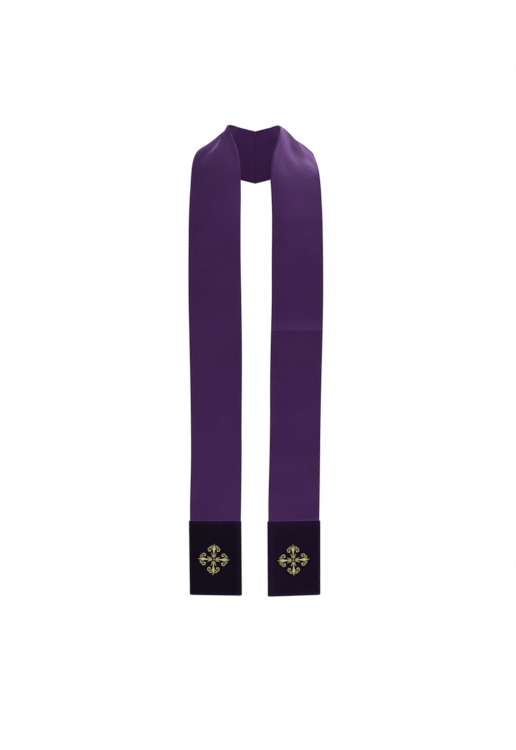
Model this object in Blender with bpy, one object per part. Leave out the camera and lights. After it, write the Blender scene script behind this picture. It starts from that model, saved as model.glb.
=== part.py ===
"""Clerical stole, worn: two straight bands over the shoulders, velvet ends, embroidered crosses.

Frame: metres, +Z up. The origin is the nape, where the neck carries the stole at the top of the
centre-back seam. The wearer looks along -Y, so the wearer's right band lies at -X.

Each band is a cloth wall lofted through named cross-lines. A cross-line runs from the band's inner
edge (beside the neck) to its outer edge, and its rows climb from the end panel up the chest, over
the shoulder and round to the centre-back seam. Folds are soft ridges and troughs laid on the loft.
"""

import math

import bmesh
import bpy
import numpy as np
from mathutils import Vector
from mathutils.geometry import delaunay_2d_cdt

MM = 0.001

# ---- Driving dimensions, millimetres -------------------------------------------------------
BAND_WALL = 2.4            # band: face cloth, interlining and turned edges
END_WALL = 3.0             # velvet end panel
SEAM_GAP = 0.3             # between pieces that are sewn to each other
EDGE_ROUND = 0.5           # how far a rounded cloth edge stands out, as a share of the wall
ROLL_HEIGHT = 3.0          # turned roll along the band's lower edge, measured up the band
ROLL_RISE = 0.9            # how far that roll stands proud of the band's face
ROLL_STATIONS = (0.25, 0.6, 1.0, 1.6)  # extra loft steps over the roll, as shares of its height

EDGE_SHARE = 0.22          # share of the width over which an edge lifts or drops
SEAM_CALM = 0.6            # rows before the centre-back seam over which folds die out
FOLD_STATIONS = 60         # points along a fold's run
FADE_SHARE = 0.35          # share of its run over which a fold fades towards an end
CREST = 2.5                # how rounded the crest of a pressed crease is
TENT_WIDTH = 0.75          # fall-off length of a pressed crease, as a share of its width

BAND_COLUMNS = 16          # strips across a band's width
HANGING_STEPS = 2          # loft steps between two rows of the hanging length
SHOULDER_STEPS = 5         # loft steps between two rows over the shoulder and round the neck

PANEL_COLUMNS = 12
PANEL_ROWS = 8
CORNER_RADIUS = 4.0        # lower corners of an end panel
PANEL_BELLY = 1.6          # how far an end panel bows forward at its middle

CROSS_ARM = 37.5           # centre of the cross to the tip of an arm
CROSS_RISE = 1.0           # how far the stitching stands off the velvet
CROSS_TILT = 2.0           # degrees, the lean of each cross on its panel
CROSS_MERGE = 0.02         # outline points nearer than this are one

# ---- Cross-lines of the bands, millimetres -------------------------------------------------
# inner and outer edge as x (outwards from the body's middle), y, z, then:
# crown: how far the middle of the cross-line bows out
# stand: how far the inner edge lifts away, against the neck
# curl:  how far the outer edge drops over the shoulder
SECTION_COLUMNS = ("in_x", "in_y", "in_z", "out_x", "out_y", "out_z", "crown", "stand", "curl")

RIGHT_HANGING = [
    (32.6, -199, -931.6, 150.8, -196, -931.6, 1.0, 0, 0),
    (31.8, -199, -884.0, 150.8, -195, -884.0, 1.5, 0, 0),
    (30.8, -198, -791.0, 148.7, -194, -791.0, 3.0, 0, 0),
    (30.8, -198, -698.0, 149.0, -194, -698.0, 3.0, 0, 0),
    (30.1, -198, -605.0, 150.4, -195, -605.0, 2.5, 0, 0),
    (30.1, -198, -512.0, 152.4, -195, -512.0, 2.5, 0, 0),
    (31.5, -197, -419.0, 154.3, -193, -419.0, 3.5, 0, 0),
    (33.0, -195, -327.0, 154.8, -189, -327.0, 4.5, 0, 0),
]
RIGHT_SHOULDER = [
    (33.2, -189, -234.0, 154.2, -181, -236.0, 5.5, 0, 0),
    (32.8, -179, -176.0, 153.2, -167, -188.0, 6.0, 0, 0),
    (33.2, -164, -131.0, 151.8, -147, -148.0, 5.5, 1, 1),
    (35.0, -146, -96.0, 150.0, -127, -107.0, 4.5, 1, 2),
    (41.5, -123, -62.0, 146.4, -106, -79.0, 3.5, 2, 3),
    (52.0, -94, -31.0, 140.6, -86, -61.0, 1.0, 3, 3),
    (63.0, -63, -1.0, 139.5, -60, -55.5, -3.0, 3, 3),
    (61.0, -42, 6.5, 138.0, -25, -69.0, -1.0, 3, 4),
    (52.5, -23, 10.0, 121.0, 2, -87.0, 2.0, 2, 2),
    (38.0, -9, 8.0, 85.0, 14, -100.0, 3.0, 1, 0),
    (20.0, -2, 4.5, 43.0, 23, -114.0, 3.0, 0, 0),
    (0.0, 0, 0.0, 0.0, 26, -125.0, 2.0, 0, 0),
]

LEFT_HANGING = [
    (30.9, -199, -932.5, 149.2, -196, -931.0, 1.0, 0, 0),
    (30.9, -199, -884.0, 150.0, -195, -884.0, 1.5, 0, 0),
    (33.2, -198, -791.0, 151.2, -194, -791.0, 3.0, 0, 0),
    (34.7, -198, -698.0, 152.4, -194, -698.0, 3.0, 0, 0),
    (34.8, -198, -605.0, 154.2, -195, -605.0, 2.5, 0, 0),
    (36.4, -198, -512.0, 156.6, -195, -512.0, 2.5, 0, 0),
    (38.6, -197, -419.0, 158.4, -193, -419.0, 3.5, 0, 0),
    (38.7, -195, -327.0, 158.4, -189, -327.0, 4.5, 0, 0),
]
LEFT_SHOULDER = [
    (39.4, -189, -234.0, 157.4, -181, -236.0, 5.5, 0, 0),
    (38.0, -177, -176.0, 155.8, -168, -188.0, 6.0, 0, 0),
    (36.0, -160, -131.0, 154.2, -149, -146.0, 6.0, -2, 1),
    (38.0, -141, -96.0, 150.0, -128, -109.5, 5.5, -2, -1),
    (44.5, -119, -62.0, 144.0, -106, -87.0, 4.5, -2, -1.5),
    (54.5, -93, -32.0, 138.8, -86, -71.0, 5.5, -1, -1.5),
    (58.8, -63, -3.0, 136.0, -60, -62.5, 5.5, 0, -1),
    (57.5, -42, 6.0, 137.0, -25, -73.0, 4.0, 0, 2),
    (51.0, -23, 10.0, 120.0, 2, -87.0, 2.0, 1, 2),
    (37.5, -9, 8.0, 84.5, 14, -100.0, 3.0, 1, 0),
    (20.0, -2, 4.5, 43.0, 23, -114.0, 3.0, 0, 0),
    (0.0, 0, 0.0, 0.0, 26, -125.0, 2.0, 0, 0),
]

# ---- Folds: rows count from the end panel (0) to the centre-back seam (19), across runs from the
# inner edge (0) to the outer edge (1). The bend is how many rows the middle of a fold lies past the
# straight line between its ends. A fold has its own width towards either edge of the band. A ridge
# has a positive height and a trough a negative one; crisp 0 is a soft roll and 1 a pressed crease.
FOLD_COLUMNS = ("start_row", "start_across", "end_row", "end_across", "bend", "inner_width",
                "outer_width", "height", "crisp")

RIGHT_FOLDS = [
    (15.8, -0.02, 11.2, 0.94, -0.75, 20.0, 5.5, -6.5, 0.9),
    (9.6, 0.30, 4.0, 0.34, 0, 26.0, 26.0, -1.5, 0),
    (18.0, 0.25, 15.8, 0.70, 0, 14.0, 14.0, -2.5, 0),
]
LEFT_FOLDS = [
    (15.5, -0.16, 9.4, 0.73, 0, 18.0, 16.0, 3.2, 0),
    (16.0, 0.28, 10.4, 1.02, -0.27, 18.0, 13.0, -4.3, 0.3),
    (9.6, 0.62, 4.0, 0.60, 0, 26.0, 26.0, -1.5, 0),
    (18.0, 0.25, 15.8, 0.70, 0, 14.0, 14.0, -2.5, 0),
]

# ---- End panels, millimetres: edges at the seam and at the hem ------------------------------
PANEL_COLUMN_NAMES = ("in_x", "in_z", "out_x", "out_z")
RIGHT_PANEL = {"seam": (32.0, -932.2, 153.0, -932.2), "hem": (30.6, -1105.2, 150.8, -1103.5)}
LEFT_PANEL = {"seam": (29.0, -933.1, 151.2, -931.6), "hem": (30.0, -1107.5, 151.3, -1103.5)}
PANEL_FRONT = -197.0       # y of a panel's inner edge; the outer edge hangs a little further back
PANEL_TURN = 2.0           # how much further back
RIGHT_CROSS_PLACE = (95.8, -1020.8)
LEFT_CROSS_PLACE = (89.1, -1023.4)

# ---- Finishes: colour, roughness ------------------------------------------------------------
FINISHES = {
    "purple_cloth": ((0.048, 0.017, 0.074), 0.62),
    "dark_velvet": ((0.008, 0.0045, 0.013), 0.9),
    "gold_thread": ((0.50, 0.42, 0.17), 0.45),
}


def spline_rows(table, steps):
    """Carry every column of a table through its rows on a smooth curve.

    steps gives the number of loft steps in each interval. Between two rows the curve is a cubic
    whose slope at a row is half the change from the row before it to the row after it.
    """
    rows = np.array(table, dtype=float)
    slopes = np.gradient(rows, axis=0)
    out = []
    for i, count in enumerate(steps):
        t = (np.arange(count) / count)[:, None]
        a, b = rows[i], rows[i + 1]
        da, db = slopes[i], slopes[i + 1]
        out.append(a * (2 * t**3 - 3 * t**2 + 1) + b * (3 * t**2 - 2 * t**3)
                   + da * (t**3 - 2 * t**2 + t) + db * (t**3 - t**2))
    return np.vstack(out + [rows[-1:]])


def unit(vectors):
    """Vectors scaled to length one."""
    return vectors / np.linalg.norm(vectors, axis=-1, keepdims=True)


def face_normals(grid):
    """Outward normal at every point of a grid, from the slopes along and across it."""
    along = np.gradient(grid, axis=0)
    across = np.gradient(grid, axis=1)
    return unit(np.cross(across, along))


def sample(grid, row, column):
    """Point of a grid at a fractional row and column, between its four neighbours."""
    i = min(int(row), grid.shape[0] - 2)
    j = min(int(column), grid.shape[1] - 2)
    a, b = row - i, column - j
    low = grid[i, j] * (1 - b) + grid[i, j + 1] * b
    high = grid[i + 1, j] * (1 - b) + grid[i + 1, j + 1] * b
    return low * (1 - a) + high * a


def smooth(t):
    """Smooth step from 0 to 1."""
    t = np.clip(t, 0, 1)
    return t * t * (3 - 2 * t)


def fold_heights(grid, row_of_step, folds):
    """Height of all folds at every grid point.

    A fold is a run between two places on the band, bent along the rows as a parabola. Its height
    falls off with the distance to the run as a soft bell, mixed by its crispness with a tent of
    rounded crest, and fades on a smooth step towards both ends.
    """
    heights = np.zeros(grid.shape[:2])
    steps = np.arange(len(row_of_step))
    columns = np.linspace(0, 1, BAND_COLUMNS + 1)
    share = np.linspace(0, 1, FOLD_STATIONS)
    for values in folds:
        fold = dict(zip(FOLD_COLUMNS, values))
        rows = fold["start_row"] + share * (fold["end_row"] - fold["start_row"])
        rows = rows + fold["bend"] * 4 * share * (1 - share)
        across = fold["start_across"] + share * (fold["end_across"] - fold["start_across"])
        row_places = np.interp(rows, row_of_step, steps)
        column_places = np.clip(across, 0, 1) * BAND_COLUMNS
        run = np.array([sample(grid, i, j) for i, j in zip(row_places, column_places)])
        gaps = np.linalg.norm(grid[:, :, None, :] - run[None, None], axis=-1)
        nearest = gaps.argmin(axis=-1)
        gap = gaps.min(axis=-1)
        width = np.where(columns[None, :] < across[nearest], fold["inner_width"], fold["outer_width"])
        bell = np.exp(-(gap / width) ** 2)
        tent = np.exp((CREST - np.hypot(gap, CREST)) / (TENT_WIDTH * width))
        shape = (1 - fold["crisp"]) * bell + fold["crisp"] * tent
        passed = share[nearest]
        fade = smooth(passed / FADE_SHARE) * smooth((1 - passed) / FADE_SHARE)
        heights += fold["height"] * fade * shape
    return heights


def band_surface(hanging, shoulder, folds):
    """Middle surface of a band: the loft through its cross-lines with crown, edges and folds."""
    table = hanging + shoulder
    steps = [HANGING_STEPS] * len(hanging) + [SHOULDER_STEPS] * (len(shoulder) - 1)
    rows = spline_rows(table, steps)
    row_of_step = np.concatenate([i + np.arange(n) / n for i, n in enumerate(steps)] + [[len(steps)]])
    climb = rows[1, SECTION_COLUMNS.index("in_z")] - rows[0, SECTION_COLUMNS.index("in_z")]
    roll_share = np.array(ROLL_STATIONS) * ROLL_HEIGHT / climb
    roll_rows = rows[0] + (rows[1] - rows[0]) * roll_share[:, None]
    rows = np.vstack([rows[:1], roll_rows, rows[1:]])
    row_of_step = np.concatenate([[0], roll_share * row_of_step[1], row_of_step[1:]])
    column = {name: rows[:, i][:, None] for i, name in enumerate(SECTION_COLUMNS)}
    across = np.linspace(0, 1, BAND_COLUMNS + 1)[None, :]
    grid = np.stack([column["in_" + axis] * (1 - across) + column["out_" + axis] * across
                     for axis in "xyz"], axis=-1)
    bow = column["crown"] * 4 * across * (1 - across)
    lift = column["stand"] * np.clip(1 - across / EDGE_SHARE, 0, 1) ** 2
    drop = column["curl"] * np.clip(1 - (1 - across) / EDGE_SHARE, 0, 1) ** 2
    offset = bow + lift - drop + fold_heights(grid, row_of_step, folds)
    calm = np.clip((len(table) - 1 - row_of_step) / SEAM_CALM, 0, 1)[:, None]
    return grid + face_normals(grid) * (offset * calm)[..., None]


def wall_rings(middle, wall, raise_face=None):
    """Closed rings round a cloth wall, one for each row of its middle surface.

    A ring is the outer face, a rounded edge point, the inner face and the other edge point.
    """
    normal = face_normals(middle)
    face = wall / 2 if raise_face is None else wall / 2 + raise_face[:, None, None]
    outer = middle + normal * face
    inner = middle - normal * wall / 2
    side = unit(middle[:, -1] - middle[:, -2]) * wall * EDGE_ROUND
    back = unit(middle[:, 0] - middle[:, 1]) * wall * EDGE_ROUND
    far = (outer[:, -1] + inner[:, -1]) / 2 + side
    near = (outer[:, 0] + inner[:, 0]) / 2 + back
    return np.concatenate([outer, far[:, None], inner[:, ::-1], near[:, None]], axis=1)


def mirror_x(points, sign):
    """Points with their outward x turned to the wearer's right (-X) or left (+X)."""
    return points * np.array([sign, 1.0, 1.0])


def make_object(name, bm, finish, collection):
    """Turn a bmesh in millimetres into a named object with its material."""
    bmesh.ops.recalc_face_normals(bm, faces=bm.faces)
    bmesh.ops.triangulate(bm, faces=bm.faces)
    bmesh.ops.scale(bm, vec=(MM, MM, MM), verts=bm.verts)
    mesh = bpy.data.meshes.new(name)
    bm.to_mesh(mesh)
    bm.free()
    mesh.shade_smooth()
    mesh.set_sharp_from_angle(angle=math.radians(40))
    mesh.materials.append(bpy.data.materials[finish])
    obj = bpy.data.objects.new(name, mesh)
    collection.objects.link(obj)
    return obj


def tube_between_rings(rings):
    """Closed body through rings of equal count, capped at both ends by its own wall."""
    bm = bmesh.new()
    loops = [[bm.verts.new(p) for p in ring] for ring in rings]
    count = len(loops[0])
    for low, high in zip(loops, loops[1:]):
        for k in range(count):
            bm.faces.new((low[k], low[(k + 1) % count], high[(k + 1) % count], high[k]))
    half = (count - 2) // 2
    for loop in (loops[0], loops[-1]):
        outer = loop[:half]
        inner = loop[half + 1:2 * half + 1][::-1]
        for k in range(half - 1):
            bm.faces.new((outer[k], outer[k + 1], inner[k + 1], inner[k]))
        bm.faces.new((outer[-1], loop[half], inner[-1]))
        bm.faces.new((outer[0], inner[0], loop[-1]))
    return bm


def make_band(name, hanging, shoulder, folds, sign, collection):
    """One band of the stole, cut square at its roll and in the middle plane at the nape."""
    middle = band_surface(hanging, shoulder, folds)
    centre = middle[:, BAND_COLUMNS // 2]
    up_band = np.linalg.norm(centre - centre[0], axis=-1)
    roll = ROLL_RISE * np.exp(-((up_band - ROLL_HEIGHT / 2) / (ROLL_HEIGHT / 2)) ** 2)
    rings = wall_rings(middle, BAND_WALL, roll)
    rings[-1, :, 0] = SEAM_GAP / 2
    rings[..., 0] = np.maximum(rings[..., 0], SEAM_GAP / 2)
    return make_object(name, tube_between_rings(mirror_x(rings, sign)), "purple_cloth", collection)


def panel_point(panel, across, down, proud=0.0):
    """Point of an end panel's middle surface, or proud of it towards the front.

    across runs from the inner to the outer edge and down from the seam to the hem. The panel bows
    forward by a half sine both ways.
    """
    seam = dict(zip(PANEL_COLUMN_NAMES, panel["seam"]))
    hem = dict(zip(PANEL_COLUMN_NAMES, panel["hem"]))
    place = {}
    for axis in "xz":
        near = seam["in_" + axis] * (1 - down) + hem["in_" + axis] * down
        far = seam["out_" + axis] * (1 - down) + hem["out_" + axis] * down
        place[axis] = near * (1 - across) + far * across
    bow = PANEL_BELLY * np.sin(math.pi * np.clip(across, 0, 1)) * (0.5 + 0.5 * np.sin(math.pi * down))
    y = PANEL_FRONT + PANEL_TURN * across - bow - proud
    return np.stack([place["x"], y + 0 * place["x"], place["z"]], axis=-1)


def make_panel(name, panel, sign, collection):
    """A velvet end panel: a wall whose lower corners are quarter rounds."""
    height = panel["seam"][1] - panel["hem"][1]
    width = panel["hem"][2] - panel["hem"][0]
    straight = np.linspace(0, height - CORNER_RADIUS, PANEL_ROWS + 1)
    turn = np.radians([30, 60, 80])
    down = np.concatenate([straight, height - CORNER_RADIUS + CORNER_RADIUS * np.sin(turn)])
    inset = np.concatenate([0 * straight, CORNER_RADIUS * (1 - np.cos(turn))]) / width
    share = np.linspace(0, 1, PANEL_COLUMNS + 1)[None, :]
    across = inset[:, None] + share * (1 - 2 * inset[:, None])
    middle = panel_point(panel, across, np.repeat(down[:, None] / height, share.size, axis=1))
    rings = wall_rings(middle[::-1], END_WALL)
    return make_object(name, tube_between_rings(mirror_x(rings, sign)), "dark_velvet", collection)


def ribbon(path, widths):
    """Flat outline of a stitched line: its path with half the width laid off on both sides."""
    path = np.array(path)
    tangent = unit(np.gradient(path, axis=0))
    side = np.stack([-tangent[:, 1], tangent[:, 0]], axis=-1) * np.array(widths)[:, None] / 2
    return np.vstack([path + side, (path - side)[::-1]])


def bezier(a, b, c, d, count):
    """Cubic curve from a to d, pulled towards b and c."""
    t = np.linspace(0, 1, count)[:, None]
    a, b, c, d = (np.array(p, dtype=float) for p in (a, b, c, d))
    return a * (1 - t)**3 + b * 3 * t * (1 - t)**2 + c * 3 * t**2 * (1 - t) + d * t**3


def arm_outlines():
    """Outlines of one upright arm of the cross, as shares of the arm's length.

    A bulb near the centre opens in two pointed leaves. The stem out of it widens to a knot that
    carries a narrow spear point and two scrolls, each a long roll with a short one under it.
    """
    thread = ribbon([(0, 0.0), (0, 0.07), (0, 0.13)], [0.03, 0.03, 0.05])
    bulb = ribbon([(0, 0.10), (0, 0.14), (0, 0.18), (0, 0.23), (0, 0.27), (0, 0.32)],
                  [0.05, 0.13, 0.18, 0.19, 0.15, 0.05])
    stem = ribbon([(0, 0.28), (0, 0.38), (0, 0.46), (0, 0.55), (0, 0.62), (0, 0.68), (0, 0.75)],
                  [0.04, 0.05, 0.075, 0.115, 0.15, 0.135, 0.07])
    spear = ribbon([(0, 0.70), (0, 0.80), (0, 0.91), (0, 1.0)], [0.08, 0.065, 0.04, 0.01])
    shapes = [thread, bulb, stem, spear]
    for side in (-1, 1):
        rise = bezier((0.035, 0.66), (0.04, 0.77), (0.09, 0.84), (0.175, 0.81), 5)
        fall = bezier((0.175, 0.81), (0.26, 0.785), (0.365, 0.72), (0.352, 0.61), 6)[1:]
        curl = bezier((0.352, 0.61), (0.34, 0.50), (0.235, 0.475), (0.205, 0.55), 6)[1:]
        path = np.vstack([rise, fall, curl])
        scroll = ribbon(path, np.interp(np.arange(len(path)), (0, 4, 9, 14), (0.035, 0.042, 0.048, 0.055)))
        under = ribbon(bezier((0.045, 0.56), (0.06, 0.66), (0.12, 0.705), (0.25, 0.70), 5),
                       [0.04, 0.042, 0.040, 0.036, 0.024])
        leaf = ribbon(bezier((0.07, 0.24), (0.105, 0.28), (0.115, 0.34), (0.175, 0.395), 5),
                      [0.045, 0.042, 0.038, 0.030, 0.010])
        shapes += [shape * np.array([side, 1]) for shape in (scroll, under, leaf)]
    return shapes


def cross_outlines():
    """Outlines of the whole cross in millimetres: four turned arms and a round centre."""
    turn = np.linspace(0, 2 * math.pi, 10, endpoint=False)
    shapes = [np.stack([0.05 * np.cos(turn), 0.05 * np.sin(turn)], axis=-1)]
    for quarter in range(4):
        c, s = math.cos(quarter * math.pi / 2), math.sin(quarter * math.pi / 2)
        shapes += [shape @ np.array([[c, s], [-s, c]]) for shape in arm_outlines()]
    return [shape * CROSS_ARM for shape in shapes]


def make_cross(name, panel, place, sign, collection):
    """The raised stitching: the joined outlines of the cross, laid on the panel and lifted off it."""
    outlines = cross_outlines()
    corners = [Vector(p) for shape in outlines for p in shape]
    starts = np.cumsum([0] + [len(shape) for shape in outlines])
    faces = [list(range(a, b)) for a, b in zip(starts, starts[1:])]
    flat, _, triangles, _, _, _ = delaunay_2d_cdt(corners, [], faces, 1, CROSS_MERGE)
    flat = np.array([tuple(p) for p in flat])
    lean = math.radians(CROSS_TILT)
    spin = np.array([[math.cos(lean), math.sin(lean)], [-math.sin(lean), math.cos(lean)]])
    flat = flat @ spin + np.array(place)
    seam, hem = panel["seam"], panel["hem"]
    down = (seam[1] - flat[:, 1]) / (seam[1] - hem[1])
    inner = seam[0] * (1 - down) + hem[0] * down
    outer = seam[2] * (1 - down) + hem[2] * down
    across = (flat[:, 0] - inner) / (outer - inner)
    bm = bmesh.new()
    layers = []
    for proud in (END_WALL / 2 + SEAM_GAP, END_WALL / 2 + SEAM_GAP + CROSS_RISE):
        points = mirror_x(panel_point(panel, across, down, proud), sign)
        layers.append([bm.verts.new(p) for p in points])
    edges = {}
    for a, b, c in triangles:
        for layer in layers:
            bm.faces.new((layer[a], layer[b], layer[c]))
        for pair in ((a, b), (b, c), (c, a)):
            edges.setdefault(frozenset(pair), []).append(pair)
    for pairs in edges.values():
        if len(pairs) == 1:
            a, b = pairs[0]
            bm.faces.new((layers[0][a], layers[0][b], layers[1][b], layers[1][a]))
    bmesh.ops.delete(bm, geom=[v for v in bm.verts if not v.link_faces], context="VERTS")
    return make_object(name, bm, "gold_thread", collection)


def make_finishes():
    """One Principled material for each finish of the stole."""
    for name, (colour, roughness) in FINISHES.items():
        material = bpy.data.materials.new(name)
        material.use_nodes = True
        shader = material.node_tree.nodes["Principled BSDF"]
        shader.inputs["Base Color"].default_value = (*colour, 1.0)
        shader.inputs["Roughness"].default_value = roughness
        shader.inputs["Metallic"].default_value = 0.0


def main():
    """Build the stole from an empty scene."""
    for obj in list(bpy.data.objects):
        bpy.data.objects.remove(obj, do_unlink=True)
    stole = bpy.data.collections.new("clerical_stole")
    bpy.context.scene.collection.children.link(stole)
    make_finishes()
    make_band("band_right", RIGHT_HANGING, RIGHT_SHOULDER, RIGHT_FOLDS, -1, stole)
    make_band("band_left", LEFT_HANGING, LEFT_SHOULDER, LEFT_FOLDS, 1, stole)
    make_panel("end_panel_right", RIGHT_PANEL, -1, stole)
    make_panel("end_panel_left", LEFT_PANEL, 1, stole)
    make_cross("cross_right", RIGHT_PANEL, RIGHT_CROSS_PLACE, -1, stole)
    make_cross("cross_left", LEFT_PANEL, LEFT_CROSS_PLACE, 1, stole)


main()
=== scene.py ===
"""Looks of a worn clerical stole: fine cloth bands, velvet ends and gold satin-stitched crosses.

Frame: metres, +Z up. The origin is the nape, the wearer looks along -Y and the wearer's right band
lies at -X. Tables and formulas are in millimetres, with x outwards from the middle of the body. A
side of -1 or +1 turns it to the wearer's right or left.

Every piece is made of closed tubes of rings, worked out as whole arrays. A ring of cloth runs over
its outer face, round one edge, back over the inner face and round the other edge.
"""

import math

import bpy
import numpy as np
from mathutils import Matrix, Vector


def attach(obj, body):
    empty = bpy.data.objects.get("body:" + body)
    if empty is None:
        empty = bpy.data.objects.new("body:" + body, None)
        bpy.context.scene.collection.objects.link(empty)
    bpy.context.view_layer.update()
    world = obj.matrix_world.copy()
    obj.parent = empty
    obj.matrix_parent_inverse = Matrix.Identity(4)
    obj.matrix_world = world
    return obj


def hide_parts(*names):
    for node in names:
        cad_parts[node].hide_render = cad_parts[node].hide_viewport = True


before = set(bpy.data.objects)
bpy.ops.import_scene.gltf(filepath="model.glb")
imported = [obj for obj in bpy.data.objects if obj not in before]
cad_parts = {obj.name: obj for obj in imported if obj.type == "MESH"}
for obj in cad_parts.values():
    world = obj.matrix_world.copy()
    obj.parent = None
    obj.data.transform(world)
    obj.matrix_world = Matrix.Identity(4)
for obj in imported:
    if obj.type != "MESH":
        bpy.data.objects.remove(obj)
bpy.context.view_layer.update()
scene = bpy.context.scene

MM = 0.001

# ---- Cloth, millimetres
BAND_WALL = 2.4    # face cloth, interlining and turned edges
END_WALL = 3.0     # velvet end panel with its pile
SEAM_TUCK = 0.1    # how far the bands reach past the middle plane, to shut their seam
EDGE_ROUND = 0.5   # reach of a rounded edge, as a share of the wall
EDGE_POINTS = 6    # points round such an edge
EDGE_INSET = 1.05  # a band's middle surface ends this far inside the table's edges
PANEL_INSET = 0.8  # and that of a velvet end
EDGE_SHARE = 0.22  # share of the width over which a band's edge lifts or drops
SEAM_CALM = 0.6    # rows before the centre-back seam over which folds die out

BAND_WIDTH = 120.0      # finished width
BAND_COLUMNS = 66       # strips across a band
EDGE_CROWD = 0.5        # how much closer the strips lie near the edges
CLOTH_STEP = 3.4        # loft step along the band
FINE_STEP = 1.7         # and over the shoulder
FINE_FROM = 10.2        # between these rows
FINE_TO = 15.6
ROLL_HEIGHT = 3.0       # turned roll along the band's lower edge
ROLL_RISE = 0.9         # how far it stands proud
ROLL_REACH = 8.0        # stretch above the lower edge that has short steps
ROLL_STEP = 0.35
SEAM_REACH = 4.0        # and before the centre-back seam
SEAM_STEP = 0.3
GROOVE_DEPTH = 0.35     # stitched groove just above the roll
GROOVE_PLACE = 3.9
GROOVE_WIDTH = 0.8
DENSE_ROWS = 6000       # samples from which lengths are added up
SEAM_TURN = 1.3         # over which the wall rounds into the centre-back seam
FOOT_TURN = 0.9         # and over which it rounds off at the lower edge
FOOT_START = 0.15       # part of that rounding that is done at the first ring
END_LEFT = 0.3          # share of the wall that is left there
TURN_RISE = 0.22        # the turned-in edge makes a soft ridge along both sides
TURN_PLACE = 4.5        # from the edge to the crest of that ridge
TURN_WIDTH = 3.2
TURN_INNER = 0.5        # share of it that shows on the inner face
FULL_WALL = 0.99        # it stops where less of the wall is left than this
EDGE_SHADE = 1.0        # painted shade: how much darker the turned edge is
EDGE_SHADE_WIDTH = 1.7  # over this distance from the edge
EDGE_PAINTED_HIGHLIGHT = 0.22        # painted highlight: a paler line runs inside it
EDGE_HIGHLIGHT_PLACE = 4.6   # this far from the edge
ROLL_PAINTED_HIGHLIGHT = 0.6         # painted highlight: how much paler the roll is
ROLL_HIGHLIGHT_END = 3.4     # where that highlight ends above the lower edge
CREASE_LIGHT_STEP = 4.0         # length of the step where the painted highlight begins above a crease
CREASE_PAINTED_SHADE = 0.35       # painted shade: how dark the strip just below it is, as a share of the highlight's paleness
CREASE_SHADE_BELOW = 9.0        # how far below the crease that strip lies

# ---- Cross-lines of the bands, end to seam: x, y, z of the inner and of the outer edge, then how
# far the middle bows out, the inner edge stands up at the neck and the outer edge curls down. The
# last two are the same on both sides.
NAPE_SECTIONS = [(20, -2, 4.5, 43, 23, -114, 3, 0, 0), (0, 0, 0, 0, 26, -125, 2, 0, 0)]
RIGHT_SECTIONS = [
    (32.6, -199, -931.6, 150.8, -196, -931.6, 1, 0, 0),
    (31.8, -199, -884, 150.8, -195, -884, 1.5, 0, 0),
    (30.8, -198, -791, 148.7, -194, -791, 3, 0, 0),
    (30.8, -198, -698, 149, -194, -698, 3, 0, 0),
    (30.1, -198, -605, 150.4, -195, -605, 2.5, 0, 0),
    (30.1, -198, -512, 152.4, -195, -512, 2.5, 0, 0),
    (31.5, -197, -419, 154.3, -193, -419, 3.5, 0, 0),
    (33, -195, -327, 154.8, -189, -327, 4.5, 0, 0),
    (33.2, -189, -234, 154.2, -181, -236, 5.5, 0, 0),
    (32.8, -179, -176, 153.2, -167, -188, 6, 0, 0),
    (33.2, -164, -131, 151.8, -147, -148, 5.5, 1, 1),
    (35, -146, -96, 150, -127, -107, 4.5, 1, 2),
    (41.5, -123, -62, 146.4, -106, -79, 3.5, 2, 3),
    (52, -94, -31, 140.6, -86, -61, 1, 3, 3),
    (63, -63, -1, 139.5, -60, -55.5, -3, 3, 3),
    (61, -42, 6.5, 138, -25, -69, -1, 3, 4),
    (52.5, -23, 10, 121, 2, -87, 2, 2, 2),
    (38, -9, 8, 85, 14, -100, 3, 1, 0),
] + NAPE_SECTIONS
LEFT_SECTIONS = [
    (30.9, -199, -932.5, 149.2, -196, -931, 1, 0, 0),
    (30.9, -199, -884, 150, -195, -884, 1.5, 0, 0),
    (33.2, -198, -791, 151.2, -194, -791, 3, 0, 0),
    (34.7, -198, -698, 152.4, -194, -698, 3, 0, 0),
    (34.8, -198, -605, 154.2, -195, -605, 2.5, 0, 0),
    (36.4, -198, -512, 156.6, -195, -512, 2.5, 0, 0),
    (38.6, -197, -419, 158.4, -193, -419, 3.5, 0, 0),
    (38.7, -195, -327, 158.4, -189, -327, 4.5, 0, 0),
    (39.4, -189, -234, 157.4, -181, -236, 5.5, 0, 0),
    (38, -177, -176, 155.8, -168, -188, 6, 0, 0),
    (36, -160, -131, 154.2, -149, -146, 6, -2, 1),
    (38, -141, -96, 150, -128, -109.5, 5.5, -2, -1),
    (44.5, -119, -62, 144, -106, -87, 4.5, -2, -1.5),
    (54.5, -93, -32, 138.8, -86, -71, 5.5, -1, -1.5),
    (58.8, -63, -3, 136, -60, -62.5, 5.5, 0, -1),
    (57.5, -42, 6, 137, -25, -73, 4, 0, 2),
    (51, -23, 10, 120, 2, -87, 2, 1, 2),
    (37.5, -9, 8, 84.5, 14, -100, 3, 1, 0),
] + NAPE_SECTIONS

# ---- Folds over the shoulders: start and end, each as a row and a share across, bend, width towards
# the inner and the outer edge, height, crispness. Rows count from the end panel (0) to the
# centre-back seam (19), shares from the inner edge (0) to the outer edge (1). The bend is how many
# rows the middle lies past a straight line. A trough has a negative height; crisp 0 is a soft roll
# of cloth and 1 a pressed crease.
FOLD_STATIONS = 60  # points along a run
RUN_REACH = 2.2     # rows past a run's ends that it still lifts
CREST = 2.5         # how rounded the crest of a crease is
SOFTENINGS = 2      # times that all heights are evened out with their neighbours'
TENT_WIDTH = 0.75   # fall-off length of a crease, as a share of its width
HANGING_ROWS = 12   # rows of the tables whose height climbs steadily
FOLD_END = 0        # how much of a fold is left at its ends
FADE_SHARE = 0.35   # share of a run over which it fades towards an end

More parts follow.
